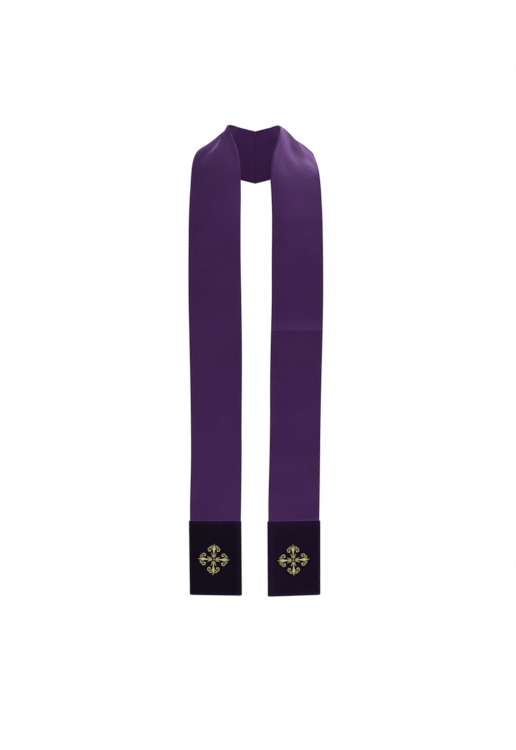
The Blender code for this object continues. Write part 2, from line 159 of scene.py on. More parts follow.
RIGHT_FOLDS = [
    (15.6, 0, 11.1, 0.94, -0.75, 18, 5, -4.8, 0.9),
    (9.6, 0.3, 4, 0.34, 0, 26, 26, -1.5, 0),
    (18, 0.25, 15.8, 0.7, 0, 14, 14, -2.5, 0),
]
LEFT_FOLDS = [
    (15.5, -0.16, 9.4, 0.73, 0, 18, 16, 3.2, 0),
    (16, 0.28, 10.4, 1.02, -0.27, 18, 13, -4.3, 0.3),
    (9.6, 0.62, 4, 0.6, 0, 26, 26, -1.5, 0),
    (18, 0.25, 15.8, 0.7, 0, 14, 14, -2.5, 0),
]

# ---- Creases of the hanging lengths, from storage and wear: start and end, each as height z and
# share across, then half width, height and crispness
CREASE_END = 0.8  # how much of a crease is left at its ends

RIGHT_CREASES = [
    (-527, -0.05, -530, 1.05, 15, 0.45, 1),
    (-812, -0.05, -809, 1.05, 14, 0.35, 1),
    (-228, -0.05, -231, 1.05, 16, 0.3, 1),
    (-250, 0.1, -420, 0.22, 14, -0.35, 0),
    (-590, 0.85, -760, 0.7, 16, -0.4, 0),
    (-640, 0.2, -700, 0.45, 10, 0.3, 0),
    (-860, 0.8, -905, 0.55, 9, -0.3, 0),
]
LEFT_CREASES = [
    (-490, -0.05, -492, 1.05, 18, 2.3, 0.9),
    (-229, -0.05, -226, 1.05, 14, 0.5, 1),
    (-809, -0.05, -811, 1.05, 14, 0.4, 1),
    (-646, 0.14, -554, 0.98, 9, -0.6, 0.2),
    (-623, 0.6, -586, 1.02, 7, -0.4, 0.2),
    (-590, 0.22, -540, 0.1, 12, 0.45, 0),
    (-389, 0.5, -400, 0.62, 10, 0.35, 0),
    (-700, 0.15, -775, 0.4, 13, -0.3, 0),
]

# Painted light at creases: length from the lower edge, painted highlight just above, length over
# which that dies out. Painted shade lies just below each.
RIGHT_CREASE_LIGHT = [(586, 0.12, 12), (123, 0.1, 10)]
LEFT_CREASE_LIGHT = [(442, 0.75, 18), (702, 0.25, 8), (123, 0.12, 10)]

# ---- Slow waves of the hanging cloth: wave length along and across, height, shift in turns
RIGHT_WAVES = [(310, 260, 0.55, 0.1), (171, -330, 0.28, 0.55), (97, 140, 0.1, 0.3)]
LEFT_WAVES = [(287, -240, 0.5, 0.65), (158, 310, 0.3, 0.2), (104, -150, 0.12, 0.8)]

# ---- Velvet end panels: x and z of the inner and of the outer edge, at the seam and at the hem
RIGHT_PANEL = [(32, -932.2, 153, -932.2), (30.6, -1105.2, 150.8, -1103.5)]
LEFT_PANEL = [(29, -933.1, 151.2, -931.6), (30, -1107.5, 151.3, -1103.5)]
PANEL_FRONT = -197.0   # y of a panel's inner edge
PANEL_TURN = 2.0       # the outer edge hangs that much further back
PANEL_BELLY = 1.6      # how far a panel bows forward at its middle
CORNER_RADIUS = 4.0    # lower corners
CORNER_STEPS = 12
CORNER_SWEEP = 84.0    # degrees of the corner; the rounded hem closes the rest
PANEL_COLUMNS = 76
PANEL_TOP = 3.0        # the rounded top edge
PANEL_TOP_STEP = 0.35  # row steps in it
PANEL_STEP = 1.9       # row steps below it
PANEL_TOP_TURN = 1.2   # over which the wall rounds into the seam
PANEL_TUCK = 1.6       # how far the velvet reaches up behind the band's roll
PANEL_HEM_TURN = 1.8   # over which it rounds off at the hem
PANEL_SOFT = 4.0       # the pile thins out over this distance from the edges
PANEL_SOFT_DEPTH = 0.45
LEAST_WALL = 0.25      # share of the outer half of the wall that always stays
PUCKER_FADE = 1.5      # power of the fade along a pucker
PUCKER_SWAY = 0.012    # how far it sways, as a share of the panel's width
PUCKER_TURN = 2.0      # and how much of a wave that is, in radians
PUCKER_PAINTED_SHEEN = 1.5     # painted sheen: how much lighter the nap is for each millimetre of a pucker
PULLED_PAINTED_SHADE = 0.6     # painted shade: how much darker it is beside the stitching
STITCH_PULL = 0.45     # how deep the stitching draws the velvet in
STITCH_PULL_GAP = 1.0  # from the middle of a stroke to where that starts to fade
STITCH_PULL_WIDTH = 3.2

# Puckers under the seam: share across, half width, depth, how far down they run
RIGHT_PUCKERS = [
    (0.1, 3.5, 0.2, 15), (0.27, 3, 0.25, 12), (0.41, 3.5, 0.15, 18), (0.6, 3, 0.25, 14),
    (0.76, 3.2, 0.18, 11), (0.9, 3, 0.22, 16),
]
LEFT_PUCKERS = [
    (0.08, 2.8, 0.35, 14), (0.17, 2.6, 0.4, 20), (0.26, 2.8, 0.45, 17), (0.35, 2.6, 0.4, 24),
    (0.45, 3, 0.6, 27), (0.53, 2.5, 0.45, 19), (0.62, 2.8, 0.4, 16), (0.71, 2.6, 0.45, 22),
    (0.81, 3, 0.35, 15), (0.91, 2.8, 0.4, 18),
]
# Lighter strips of nap: share across, half width as a share, strength. Those at a panel's very
# edges are painted sheen, the others brushed nap. A panel also has its own level all over and a
# strip below the seam where the pile was pressed.
RIGHT_NAP_AND_SHEEN = [(0.045, 0.045, 0.7), (0.98, 0.02, 0.45), (0.42, 0.3, 0.05)]
LEFT_NAP_AND_SHEEN = [(0.07, 0.06, 0.45), (0.2, 0.05, 0.15), (0.985, 0.035, 0.6), (0.6, 0.16, 0.05)]
RIGHT_LEVEL, LEFT_LEVEL = -0.45, 0
RIGHT_PRESSED, LEFT_PRESSED = 1, 0.65
PRESSED_REACH = 11.0
HEM_PAINTED_SHEEN = 0.65  # painted sheen along the hem
HEM_SHEEN_WIDTH = 7.0

# ---- Crosses
CROSS_ARM = 37.5     # centre of the cross to the tip of an arm
CROSS_TILT = 2.0     # degrees, the lean of each cross on its panel
RIGHT_CROSS_PLACE = (95.8, -1020.8)
LEFT_CROSS_PLACE = (89.1, -1023.4)
THREAD_PITCH = 0.55  # from one satin stitch to the next
THREAD_SAMPLES = 5   # rings for each stitch
LEAST_RINGS = 8
THREAD_RISE = 0.13   # how far a stitch rounds up over the gap beside it
STITCH_LEAN = 0.45   # how far a stitch leans along the stroke, as a share of its width
STITCH_FOOT = -0.35  # where the stitching meets the velvet, from the panel's face
FOOT_DEPTH = 0.1     # how much deeper its underside lies
FOOT_SHARE = 0.85    # and how much narrower that is
STITCH_LOW = 0.45    # crown of the thinnest stroke
STITCH_CROWN = 0.26  # added crown, as a share of a stroke's width
STITCH_HIGH = 1.25   # the crown is never more than this
DOME_POWER = 0.8     # below 1 the dome of a stroke is fuller than an ellipse
BLUNT_LEAST = 0.2    # least reach of a stroke's rounded ends
BLUNT_MOST = 1.5     # and the most
BLUNT_START = 0.03   # part of that rounding that is done at the first ring
EVEN_SPAN = 9        # a long stroke's line is evened out over so many points
EVEN_FROM = 40       # one with more points than this is long
LAYERS = 9           # strokes lie on so many levels in turn
LAYER_RISE = 0.035   # from one level to the next
SPLIT_WIDTH = 3.4    # wider strokes are stitched from both sides of a middle line
SPLIT_DEPTH = 0.45   # depth of that line, as a share of the crown
SPLIT_SPREAD = 0.2   # width of that line, as a share of half the stroke
# Ring points over the width of a stroke, from -1 at one edge to 1 at the other
STROKE_PLACES = np.array([-1, -0.8, -0.58, -0.34, -0.09, 0.09, 0.34, 0.58, 0.8, 1])

# One upright arm of the cross, in shares of its length. Strokes on its middle: heights and widths.
ARM_MIDDLE = [
    ((0.03, 0.16), (0.012, 0.012)),
    ((0.15, 0.18, 0.23, 0.28, 0.32), (0.02, 0.05, 0.06, 0.05, 0.02)),
    ((0.66, 0.76, 0.86, 0.94, 1), (0.08, 0.064, 0.044, 0.024, 0.004)),
]
ARM_STEM = ((0.3, 0.38, 0.46, 0.55, 0.62, 0.68, 0.75),
            (0.03, 0.046, 0.07, 0.108, 0.14, 0.125, 0.05))
# Strokes on both sides of it, loop, scroll, bulb and leaf: widths at start, middle and end, points
# on each cubic curve, and where these curves end and what they are pulled to
ARM_SIDES = [
    ((0.026, 0.034, 0.028), (9, 6),
     [(0.035, 0.66), (0.05, 0.77), (0.115, 0.86), (0.185, 0.82), (0.225, 0.8), (0.245, 0.765),
      (0.235, 0.735)]),
    ((0.028, 0.037, 0.048), (8, 9, 9, 5),
     [(0.055, 0.6), (0.085, 0.68), (0.155, 0.725), (0.23, 0.722), (0.305, 0.72), (0.365, 0.67),
      (0.355, 0.6), (0.345, 0.5), (0.235, 0.47), (0.208, 0.545), (0.195, 0.59), (0.225, 0.615),
      (0.25, 0.6)]),
    ((0.032, 0.044, 0.03), (9,), [(0.015, 0.142), (0.075, 0.142), (0.105, 0.215), (0.072, 0.3)]),
    ((0.034, 0.031, 0.008), (10,), [(0.072, 0.25), (0.105, 0.285), (0.115, 0.34), (0.175, 0.395)]),
]
DOT_RADIUS = 0.032  # the dot at the centre of the cross
DOT_POINTS = 9      # points across it
DOT_LEAST = 0.004   # its width at both ends

# ---- Colours, linear
PURPLE_DEEP = (0.0226, 0.0079, 0.0365, 1)
PURPLE_PALE = (0.0328, 0.0124, 0.051, 1)
# Painted highlight and painted shade, laid over the dye by the bands' tone attribute
PURPLE_PAINTED_HIGHLIGHT = (0.048, 0.0165, 0.076, 1)
PURPLE_PAINTED_SHADE = (0.012, 0.004, 0.021, 1)
PURPLE_GLOSS = (0.66, 0.22, 1, 1)
PURPLE_SHEEN = (0.55, 0.16, 0.95, 1)
VELVET = (0.0074, 0.0041, 0.0118, 1)
VELVET_DEEP = (0.0042, 0.0027, 0.0066, 1)
# Violet bloom: painted sheen and brushed nap, laid over the dye by the nap attribute
VELVET_BRUSHED_AND_SHEEN = (0.03, 0.012, 0.053, 1)
VELVET_GLOSS = (0.55, 0.35, 0.75, 1)
VELVET_SHEEN = (0.4, 0.2, 0.62, 1)
GOLD = (0.74, 0.63, 0.29, 1)
GOLD_DEEP = (0.34, 0.27, 0.1, 1)
GOLD_PALE = (0.93, 0.84, 0.5, 1)
FLOOR_WHITE = (0.83, 0.83, 0.82, 1)
FLOOR_GRAIN = (0.78, 0.78, 0.77, 1)

# ---- Weave, metres
RIB_PITCH = 0.0007    # from one twill rib to the next
RIB_SLANT = 0.7       # how far a rib steps across for each length along
THREAD_GAP = 0.00035  # from one thread to the next
TONE_FLECKS = 2.6     # how much flecks lighten and darken the bands
NAP_FLECKS = 1.6      # and the velvet


# ---- Arrays
def unit(vectors):
    """Vectors scaled to length one."""
    return vectors / np.linalg.norm(vectors, axis=-1, keepdims=True)


def bump_shape(distance, width):
    """A soft bell: e to the minus square of the distance over the width."""
    return np.exp(-(distance / width) ** 2)


def length_along(path):
    """Length along a path, or along each of a stack of paths, up to each of its points."""
    steps = np.linalg.norm(np.diff(path, axis=-2), axis=-1)
    return np.insert(np.cumsum(steps, axis=-1), 0, 0, axis=-1)


def carry(table, places):
    """A table's columns at fractional rows.

    Between rows each column is a cubic. Its slope at a row is half the change from the row before
    to the row after.
    """
    rows = np.array(table, dtype=float)
    slopes = np.gradient(rows, axis=0)
    i = np.minimum(places.astype(int), len(rows) - 2)
    t = (places - i)[:, None]
    return (rows[i] * (2 * t**3 - 3 * t**2 + 1) + rows[i + 1] * (3 * t**2 - 2 * t**3)
            + slopes[i] * (t**3 - 2 * t**2 + t) + slopes[i + 1] * (t**3 - t**2))


def grid_normals(grid, down_the_grid, across):
    """Outward normal of a grid: its slope across, crossed with its slope along."""
    along = np.gradient(grid, down_the_grid, axis=0)
    side = np.gradient(grid, across, axis=1)
    return unit(np.cross(side, along))


def crowded(count):
    """Shares from 0 to 1 that lie closer together near both ends: t less a part of sin(2 pi t)."""
    t = np.linspace(0, 1, count + 1)
    return t - EDGE_CROWD * np.sin(2 * math.pi * t) / (2 * math.pi)


def rounding(distance, reach):
    """Share of a wall's thickness near a rounded end: a quarter circle over the reach."""
    t = np.clip(1 - distance / reach, 0, 1)
    return np.maximum(np.sqrt(1 - t**2), END_LEFT)


def shell_rings(middle, normal, outward, inward, edge_reach):
    """Closed rings round a cloth wall, one for each row of its middle surface.

    outward and inward are how far the two faces lie off the middle. Each edge is half an ellipse
    between the faces, whose reach past the middle surface is edge_reach.
    """
    outer = middle + normal * outward[..., None]
    inner = middle - normal * inward[..., None]
    turn = (np.arange(EDGE_POINTS) + 0.5) / EDGE_POINTS * math.pi
    reach = edge_reach[:, None, None]
    edges = []
    for last, before in ((-1, -2), (0, 1)):
        side = unit(middle[:, last] - middle[:, before])[:, None]
        centre = (outer[:, last] + inner[:, last])[:, None] / 2
        half = (outer[:, last] - inner[:, last])[:, None] / 2
        edges.append(centre + half * np.cos(turn)[:, None] + side * reach * np.sin(turn)[:, None])
    return np.concatenate([outer, edges[0], inner[:, ::-1], edges[1][:, ::-1]], axis=1)


def make_shell(name, rings, along, label, values, side, finish):
    """A closed cloth wall as one piece, its end caps laid from the middle of the near edge."""
    start = rings.shape[1] - EDGE_POINTS + EDGE_POINTS // 2
    tubes = [(rings, start, ring_cloth(rings, along))]
    return make_mesh(name, tubes, side, finish, [(label, values)])


def ring_values(outer, inner):
    """Values at a shell's ring points from those of its faces. Each edge takes its outer face's."""
    far = np.repeat(outer[:, -1:], EDGE_POINTS, axis=1)
    near = np.repeat(outer[:, :1], EDGE_POINTS, axis=1)
    return np.concatenate([outer, far, inner[:, ::-1], near], axis=1)


def tube_faces(ring_count, ring_points, start):
    """Quads of a closed tube, as rows and ring places that may run one past the ring's end.

    Each ring is joined to the next. Each end is capped by strips between ring points that face
    each other, laid from the start point both ways round.
    """
    i, k = np.meshgrid(np.arange(ring_count - 1), np.arange(ring_points), indexing="ij")
    rows = np.stack([i, i, i + 1, i + 1], axis=-1).reshape(-1, 4)
    places = np.stack([k, k + 1, k + 1, k], axis=-1).reshape(-1, 4)
    j = np.arange(ring_points // 2 - 1)
    mate = ring_points - 1 - j
    cap = (start + np.stack([j, j + 1, mate - 1, mate], axis=-1)) % ring_points
    rows = np.vstack([rows, 0 * cap, 0 * cap + ring_count - 1])
    places = np.vstack([places, cap[:, ::-1], cap])
    return rows, places


def add_object(name, data):
    """A new object in the scene."""
    added = bpy.data.objects.new(name, data)
    scene.collection.objects.link(added)
    return added


def make_mesh(name, tubes, side, finish, attributes=()):
    """Join closed tubes into one piece and lay it on the wearer's side.

    A tube is its rings, the start of its caps, and the cloth coordinates of its ring points. Those
    become the UV map in metres. They run one point past the ring, so that a weave closes neatly.
    """
    points, faces, corners = [], [], []
    first = 0
    for rings, start, cloth in tubes:
        count, size = rings.shape[:2]
        rows, places = tube_faces(count, size, start)
        points.append(rings.reshape(-1, 3))
        faces.append(first + rows * size + places % size)
        corners.append(cloth[rows, places])
        first += count * size
    points = np.vstack(points) * (side, 1, 1) * MM
    faces, corners = np.vstack(faces), np.vstack(corners)
    if side < 0:
        faces, corners = faces[:, ::-1], corners[:, ::-1]
    mesh = bpy.data.meshes.new(name)
    mesh.vertices.add(len(points))
    mesh.vertices.foreach_set("co", points.astype(np.float32).ravel())
    mesh.loops.add(faces.size)
    mesh.loops.foreach_set("vertex_index", faces.astype(np.int32).ravel())
    mesh.polygons.add(len(faces))
    mesh.polygons.foreach_set("loop_start", np.arange(0, faces.size, 4, dtype=np.int32))
    mesh.update(calc_edges=True)
    uv = mesh.uv_layers.new(name="cloth")
    uv.data.foreach_set("uv", (corners * MM).astype(np.float32).ravel())
    for label, values in attributes:
        layer = mesh.attributes.new(label, "FLOAT", "POINT")
        layer.data.foreach_set("value", values.astype(np.float32).ravel())
    mesh.shade_smooth()
    mesh.materials.append(finish)
    piece = add_object(name, mesh)
    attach(piece, "root")
    return piece


def ring_cloth(rings, along):
    """Cloth coordinates of ring points: length round the ring and length along the piece."""
    closed = np.concatenate([rings, rings[:, :1]], axis=1)
    return np.stack(np.broadcast_arrays(length_along(closed), along[:, None]), axis=-1)


# ---- Bands
def band_stations(table):
    """Loft stations of a band: length along its middle and the fractional row there.

    Steps are short over the roll and the shoulder and before the centre-back seam.
    """
    dense = np.linspace(0, len(table) - 1, DENSE_ROWS)
    rows = carry(table, dense)
    length = length_along((rows[:, 0:3] + rows[:, 3:6]) / 2)
    total = length[-1]
    roll = np.arange(0, ROLL_REACH, ROLL_STEP)
    seam = total - np.arange(0, SEAM_REACH, SEAM_STEP)[::-1]
    fine = (dense > FINE_FROM) & (dense < FINE_TO)
    steps = np.cumsum(np.gradient(length) / np.where(fine, FINE_STEP, CLOTH_STEP))
    first, last = np.interp((ROLL_REACH, seam[0] - SEAM_STEP), length, steps)
    body = np.interp(np.linspace(first, last, round(last - first)), steps, length)
    stations = np.concatenate([roll, body, seam])
    return stations, np.interp(stations, length, dense)


def smooth(t):
    """Smooth step from 0 to 1."""
    t = np.clip(t, 0, 1)
    return t * t * (3 - 2 * t)


def run_heights(grid, across, places, runs, left):
    """Height of all runs at every grid point.

    A run is a line between two places of the flat cloth, bent along the rows as a parabola. To
    each side its height falls off as a soft bell, mixed by its crispness with a tent of rounded
    crest, and towards each end it fades on a smooth step to what is left there. Last, heights are
    evened out with their neighbours' both ways, so that a slanting crease runs evenly.
    """
    heights = np.zeros(grid.shape[:2])
    share = np.linspace(0, 1, FOLD_STATIONS)
    for row, side, end_row, end_side, bend, inner_width, outer_width, height, crisp in runs:
        rows = row + share * (end_row - row) + bend * 4 * share * (1 - share)
        sides = side + share * (end_side - side)
        line = between(grid, places, across, rows, sides)
        near = (places > rows.min() - RUN_REACH) & (places < rows.max() + RUN_REACH)
        part = grid[near]
        gaps = np.full(part.shape[:2], np.inf)
        passed = np.zeros(part.shape[:2])
        for k in range(FOLD_STATIONS - 1):
            step = line[k + 1] - line[k]
            t = np.clip((part - line[k]) @ step / (step @ step), 0, 1)
            gap = np.linalg.norm(part - line[k] - t[..., None] * step, axis=-1)
            passed = np.where(gap < gaps, share[k] + t * share[1], passed)
            gaps = np.minimum(gap, gaps)
        width = np.where(across < np.interp(passed, share, sides), inner_width, outer_width)
        tent = np.exp((CREST - np.hypot(gaps, CREST)) / (TENT_WIDTH * width))
        shape = (1 - crisp) * bump_shape(gaps, width) + crisp * tent
        for distance in (passed, 1 - passed):
            shape = shape * (left + (1 - left) * smooth(distance / FADE_SHARE))
        heights[near] += height * shape
    for way in (heights, heights.T) * SOFTENINGS:
        way[1:-1] = (way[:-2] + 2 * way[1:-1] + way[2:]) / 4
    return heights


def between(grid, places, across, rows, sides):
    """Points of a grid at fractional rows and sides, each between its four neighbours."""
    i = np.interp(rows, places, np.arange(len(places)))
    j = np.interp(sides, across, np.arange(len(across)))
    low_i = np.minimum(i.astype(int), len(places) - 2)
    low_j = np.minimum(j.astype(int), len(across) - 2)
    a, b = (i - low_i)[:, None], (j - low_j)[:, None]
    low, high = (grid[row, low_j] * (1 - b) + grid[row, low_j + 1] * b for row in (low_i, low_i + 1))
    return low * (1 - a) + high * a


def crease_runs(table, creases):
    """Creases as runs: their heights z turned into fractional rows, both widths the same."""
    rows = np.array(table)[:HANGING_ROWS]
    middle_z = (rows[:, 2] + rows[:, 5]) / 2
    runs = []
    for start_z, side, end_z, end_side, width, height, crisp in creases:
        start, end = np.interp((start_z, end_z), middle_z, np.arange(HANGING_ROWS))
        runs.append((start, side, end, end_side, 0, width, width, height, crisp))
    return runs


def wave_heights(stations, width_places, waves):
    """Slow waves of hanging cloth: each is a height times the sine of a slanted straight phase."""
    down = stations[:, None]
    return sum(height * np.sin(2 * math.pi * (down / along + width_places / across + shift))
               for along, across, height, shift in waves)


def band_middle(table, folds, creases, waves):
    """Middle surface of a band and its normals, with the station of every row.

    The loft between the edges is bowed by a parabola across, its inner edge stands up and its
    outer edge drops by a square law, and then folds, creases and waves are added. All of it dies
    out before the centre-back seam.
    """
    stations, places = band_stations(table)
    rows = carry(table, places)
    inner, outer = rows[:, None, 0:3], rows[:, None, 3:6]
    crown, stand, curl = rows.T[6:, :, None]
    share = crowded(BAND_COLUMNS)
    inset = EDGE_INSET / np.linalg.norm(outer - inner, axis=-1)
    across = inset + share * (1 - 2 * inset)
    grid = inner * (1 - across[..., None]) + outer * across[..., None]
    offset = crown * 4 * across * (1 - across)
    offset += stand * np.clip(1 - across / EDGE_SHARE, 0, 1) ** 2
    offset -= curl * np.clip(1 - (1 - across) / EDGE_SHARE, 0, 1) ** 2
    offset += run_heights(grid, share, places, folds, FOLD_END)
    offset += run_heights(grid, share, places, crease_runs(table, creases), CREASE_END)
    offset += wave_heights(stations, share * BAND_WIDTH, waves)
    calm = np.clip((len(table) - 1 - places) / SEAM_CALM, 0, 1)[:, None]
    middle = grid + grid_normals(grid, stations, share) * (offset * calm)[..., None]
    return middle, grid_normals(middle, stations, share), stations, share


def make_band(name, table, folds, creases, waves, crease_light, side, finish):
    """One band of the stole as a closed wall of cloth.

    The outer face is half the wall, a bell-shaped roll along the lower edge with a groove above
    it, and a soft ridge where both edges are turned in. The wall rounds into the centre-back seam
    over a quarter circle, so that the seam shows as a fine ditch. The tone attribute holds painted
    light: above 0, or pale, it is a painted highlight on the roll, on a line inside both edges and
    above each listed crease, where it dies out again. Below 0 it is painted shade in the groove,
    along both edges and just below such a crease.
    """
    middle, normal, stations, share = band_middle(table, folds, creases, waves)
    width = np.linalg.norm(middle[:, -1] - middle[:, 0], axis=-1)[:, None]
    from_edge = np.minimum(share, 1 - share) * width
    end = rounding(stations[-1] - stations, SEAM_TURN)
    start = rounding(stations + FOOT_START, FOOT_TURN)
    wall = BAND_WALL / 2 * np.minimum(end, start)[:, None] + 0 * from_edge
    roll = bump_shape(stations - ROLL_HEIGHT / 2, ROLL_HEIGHT / 2)
    groove = bump_shape(stations - GROOVE_PLACE, GROOVE_WIDTH)
    turned = TURN_RISE * bump_shape(from_edge - TURN_PLACE, TURN_WIDTH)
    lift = (ROLL_RISE * roll - GROOVE_DEPTH * groove)[:, None]
    outward = wall + lift + turned * (end > FULL_WALL)[:, None]
    inward = wall + turned * TURN_INNER
    rings = shell_rings(middle, normal, outward, inward, wall[:, 0] * 2 * EDGE_ROUND)
    rings[..., 0] = np.maximum(rings[..., 0], -SEAM_TUCK)
    rings[-1, :, 0] = -SEAM_TUCK
    # Painted shade along both edges, less a painted highlight on a line inside them
    painted_edge = EDGE_SHADE * bump_shape(from_edge, EDGE_SHADE_WIDTH)
    painted_edge = painted_edge - EDGE_PAINTED_HIGHLIGHT * bump_shape(from_edge - EDGE_HIGHLIGHT_PLACE, EDGE_SHADE_WIDTH)
    # Painted highlight on the roll, painted shade in the groove
    painted_light = ROLL_PAINTED_HIGHLIGHT * roll * (stations < ROLL_HIGHLIGHT_END) - groove
    # Painted highlight just above each listed crease, dying out upwards, and painted shade just below
    # it
    for place, pale, reach in crease_light:
        above = stations - place
        painted_light = painted_light + pale * np.exp(-np.maximum(above, 0) / reach) * smooth(above / CREASE_LIGHT_STEP + 0.5)
        painted_light = painted_light - CREASE_PAINTED_SHADE * pale * bump_shape(above + CREASE_SHADE_BELOW, CREASE_SHADE_BELOW)
    tone = painted_light[:, None] - painted_edge
    return make_shell(name, rings, stations, "tone", ring_values(tone, tone), side, finish)


# ---- Velvet ends
def panel_edges(panel, down):
    """The inner and the outer edge of a panel at a share of its height, as x and z."""
    seam, hem = np.array(panel)
    edges = seam * (1 - down[..., None]) + hem * down[..., None]
    return edges[..., :2], edges[..., 2:]


def panel_point(panel, across, down, proud=0.0):
    """Point of an end panel's middle surface, or proud of it towards the front.

    across runs from the inner to the outer edge and down from the seam to the hem. A panel bows
    forward by a half sine across, half as high at the seam and at the hem.
    """
    inner, outer = panel_edges(panel, down)
    place = inner * (1 - across[..., None]) + outer * across[..., None]
    bow = PANEL_BELLY * np.sin(math.pi * np.clip(across, 0, 1)) * (0.5 + 0.5 * np.sin(math.pi * down))
    y = PANEL_FRONT + PANEL_TURN * across - bow - proud
    return np.stack([place[..., 0], y, place[..., 1]], axis=-1)


def on_panel(panel, flat):
    """Shares across and down a panel of flat points given as outward x and height z."""
    seam, hem = panel
    down = (seam[1] - flat[..., 1]) / (seam[1] - hem[1])
    inner, outer = panel_edges(panel, down)
    return (flat[..., 0] - inner[..., 0]) / (outer[..., 0] - inner[..., 0]), down


def make_panel(name, panel, puckers, nap_and_painted_light, level, pressed, strokes, side, finish):
    """A velvet end panel as a closed wall with quarter-round lower corners.

    The pile thins towards the sides and the hem. Puckers are narrow troughs that run down from the
    seam and fade, and the strokes of the cross draw the velvet in around them.
    """
    seam, hem = panel
    height, width = seam[1] - hem[1], hem[2] - hem[0]
    top = np.arange(-PANEL_TUCK, PANEL_TOP, PANEL_TOP_STEP)
    body = np.linspace(PANEL_TOP, height - CORNER_RADIUS, round(height / PANEL_STEP))
    turn = np.radians(np.linspace(0, CORNER_SWEEP, CORNER_STEPS + 1))[1:]
    down = np.concatenate([top, body, height - CORNER_RADIUS + CORNER_RADIUS * np.sin(turn)])[::-1]
    corner = np.pad(CORNER_RADIUS * (1 - np.cos(turn)), (len(top) + len(body), 0))
    inset = ((corner + PANEL_INSET) / width)[::-1, None]
    share = crowded(PANEL_COLUMNS)
    across = inset + share * (1 - 2 * inset)
    depth = np.repeat(down[:, None] / height, share.size, axis=1)
    middle = panel_point(panel, across, depth)
    normal = grid_normals(middle, -down, share)
    from_edge = np.minimum(share, 1 - share) * width
    from_hem = (height - down)[:, None]
    end = np.minimum(rounding(np.maximum(down, 0), PANEL_TOP_TURN),
                     rounding(from_hem[:, 0], PANEL_HEM_TURN))
    wall = END_WALL / 2 * end[:, None] + 0 * from_edge
    soft = PANEL_SOFT_DEPTH * bump_shape(np.minimum(from_edge, from_hem), PANEL_SOFT)
    pucker = 0
    for place, half_width, deep, run in puckers:
        fade = np.clip(1 - np.abs(down) / run, 0, 1)[:, None] ** PUCKER_FADE
        lean = place + PUCKER_SWAY * np.sin(down / run * PUCKER_TURN)[:, None]
        pucker = pucker + deep * fade * bump_shape((across - lean) * width, half_width)
    stitched = np.vstack([path for path, _ in strokes])
    gap = np.min([np.linalg.norm(middle[..., [0, 2]] - point, axis=-1) for point in stitched], axis=0)
    pulled = bump_shape(np.maximum(gap - STITCH_PULL_GAP, 0), STITCH_PULL_WIDTH)
    outward = wall - soft - pucker * end[:, None] - STITCH_PULL * pulled
    outward = np.maximum(outward, LEAST_WALL * wall)
    rings = shell_rings(middle, normal, outward, wall, wall[:, 0] * 2 * EDGE_ROUND)
    # Nap attribute: brushed nap, painted sheen at the edges, the hem and in the puckers, and painted
    # shade beside the stitching
    brushed_and_painted_light = sum(strength * bump_shape(across - place, half) for place, half, strength in nap_and_painted_light)
    brushed_and_painted_light = brushed_and_painted_light + level + pressed * np.exp(-np.maximum(down, 0) / PRESSED_REACH)[:, None]
    brushed_and_painted_light = brushed_and_painted_light + HEM_PAINTED_SHEEN * bump_shape(from_hem, HEM_SHEEN_WIDTH)
    brushed_and_painted_light = np.clip(brushed_and_painted_light + PUCKER_PAINTED_SHEEN * pucker - PULLED_PAINTED_SHADE * pulled, -1, 1)
    values = ring_values(brushed_and_painted_light, 0 * brushed_and_painted_light)
    return make_shell(name, rings, height - down, "nap_and_painted_light", values, side, finish)


# ---- Embroidered crosses
def cubics(points, counts):
    """Cubic curves joined end to end, each with its own number of points.

    A curve runs from its first to its last point, pulled towards the two between them. Its last
    point is the next one's first.
    """
    curves = []
    for i, count in enumerate(counts):
        a, b, c, d = np.array(points[3 * i:3 * i + 4])
        t = np.linspace(0, 1, count)[min(i, 1):, None]
        curves.append(a * (1 - t)**3 + b * 3 * t * (1 - t)**2 + c * 3 * t**2 * (1 - t) + d * t**3)
    return np.vstack(curves)


def straight(heights, widths):
    """A stroke along the middle line of an arm."""
    return np.stack([np.zeros(len(heights)), np.array(heights)], axis=-1), widths


def arm_strokes():
    """Strokes of one upright arm, as paths and widths in shares of the arm's length.

    An open bulb near the centre carries two pointed leaves. The stem out of it widens to a knot
    with a narrow spear point and, on both sides, a small loop over a hooked scroll. This is the
    traditional cross fleury in an own drawing.
    """
    strokes = [straight(*stroke) for stroke in ARM_MIDDLE]
    for turn in (-1, 1):
        for ends, counts, points in ARM_SIDES:
            path = cubics(points, counts)
            widths = np.interp(np.linspace(0, 1, len(path)), (0, 0.5, 1), ends)
            strokes.append((path * (turn, 1), widths))
    return strokes + [straight(*ARM_STEM)]


def turn_by(degrees):
    """A matrix that turns flat points, written as rows, to the left."""
    c, s = math.cos(math.radians(degrees)), math.sin(math.radians(degrees))
    return np.array([[c, s], [-s, c]])


def cross_strokes(place):
    """Every stroke of a cross in its place, as flat paths and widths in millimetres.

    Each arm is turned by a quarter, and a dot as wide as a circle closes the centre.
    """
    half = np.linspace(-DOT_RADIUS, DOT_RADIUS, DOT_POINTS)
    dot_widths = 2 * np.sqrt(np.maximum(DOT_RADIUS**2 - half**2, 0)) + DOT_LEAST
    strokes = [(path @ turn_by(angle), widths)
               for angle in (0, 90, 180, 270) for path, widths in arm_strokes()]
    strokes.append((np.stack([half, 0 * half], axis=-1), dot_widths))
    return [(path * CROSS_ARM @ turn_by(CROSS_TILT) + place, np.array(widths) * CROSS_ARM)
            for path, widths in strokes]


